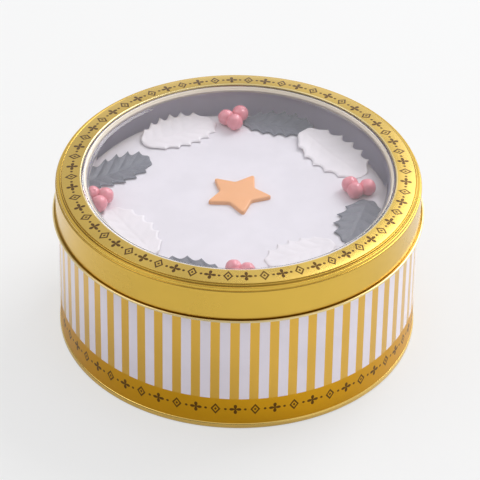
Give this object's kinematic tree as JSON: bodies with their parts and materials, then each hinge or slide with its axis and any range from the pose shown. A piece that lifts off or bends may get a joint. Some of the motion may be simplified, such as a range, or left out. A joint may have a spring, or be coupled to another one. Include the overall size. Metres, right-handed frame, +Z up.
{
  "type": "iced christmas cake in windowed gift tin",
  "caption": "Round striped gift tin with a slip-on lid; a clear window in the lid shows a white iced Christmas cake dressed with sugar-paste holly leaves, berries and a star.",
  "frame": {"origin": "middle of the circle that the tin stands on", "axes": "+Z up through the middle of the lid; the front of the tin faces -Y and +X is to its right"},
  "size_m": [0.1898, 0.1898, 0.0915],
  "materials": {
    "gold_lacquer": "satin gold lacquer",
    "printed_tinplate": "gold and white stripes over a gold band, satin",
    "base_tinplate": "gold lacquer, satin",
    "clear_plastic": "clear, glossy",
    "icing": "soft matt sugar paste",
    "star_paste": "satin sugar paste",
    "green_paste": "satin sugar paste with pressed veins",
    "white_paste": "soft matt sugar paste with pressed veins",
    "berry_paste": "glazed sugar paste"
  },
  "bodies": {
    "root": {"tin_base": "base_tinplate", "tin_wall": "printed_tinplate", "lid_ring": "gold_lacquer", "lid_window": "clear_plastic", "cake": "icing", "star": "star_paste", "green_leaf_far": "green_paste", "green_leaf_right": "green_paste", "green_leaf_front": "green_paste", "green_leaf_left": "green_paste", "white_leaf_far": "white_paste", "white_leaf_right": "white_paste", "white_leaf_front": "white_paste", "white_leaf_left": "white_paste", "berry_far_1": "berry_paste", "berry_far_2": "berry_paste", "berry_far_3": "berry_paste", "berry_right_1": "berry_paste", "berry_right_2": "berry_paste", "berry_right_3": "berry_paste", "berry_front_1": "berry_paste", "berry_front_2": "berry_paste", "berry_front_3": "berry_paste", "berry_left_1": "berry_paste", "berry_left_2": "berry_paste", "berry_left_3": "berry_paste"}
  },
  "joints": []
}
